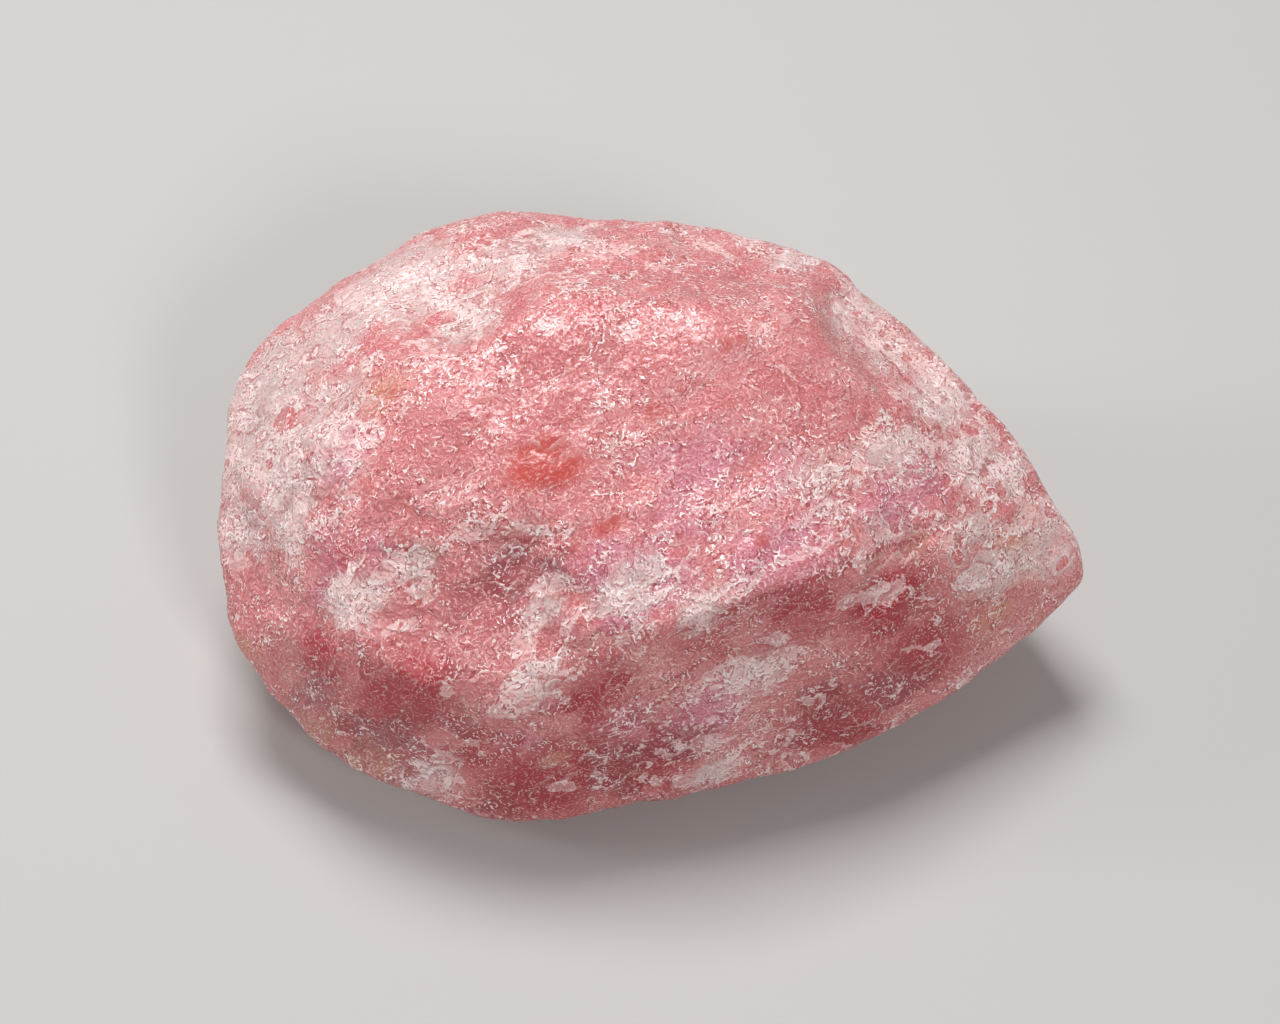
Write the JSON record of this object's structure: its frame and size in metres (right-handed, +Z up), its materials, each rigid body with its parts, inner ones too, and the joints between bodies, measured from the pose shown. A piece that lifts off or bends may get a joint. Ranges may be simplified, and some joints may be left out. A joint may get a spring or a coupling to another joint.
{
  "type": "rough aventurine stone",
  "caption": "Rough broken lump of pink aventurine, blunt at one end and pointed at the other, lying on a flat worn face.",
  "frame": {"origin": "on the surface the stone lies on, under the middle of its outline", "axes": "+X along the stone's length towards its pointed end, +Y towards its back, +Z up"},
  "size_m": [0.0483, 0.0325, 0.0246],
  "materials": {
    "pink_aventurine": "satin"
  },
  "bodies": {
    "root": {"stone": "pink_aventurine"}
  },
  "joints": []
}
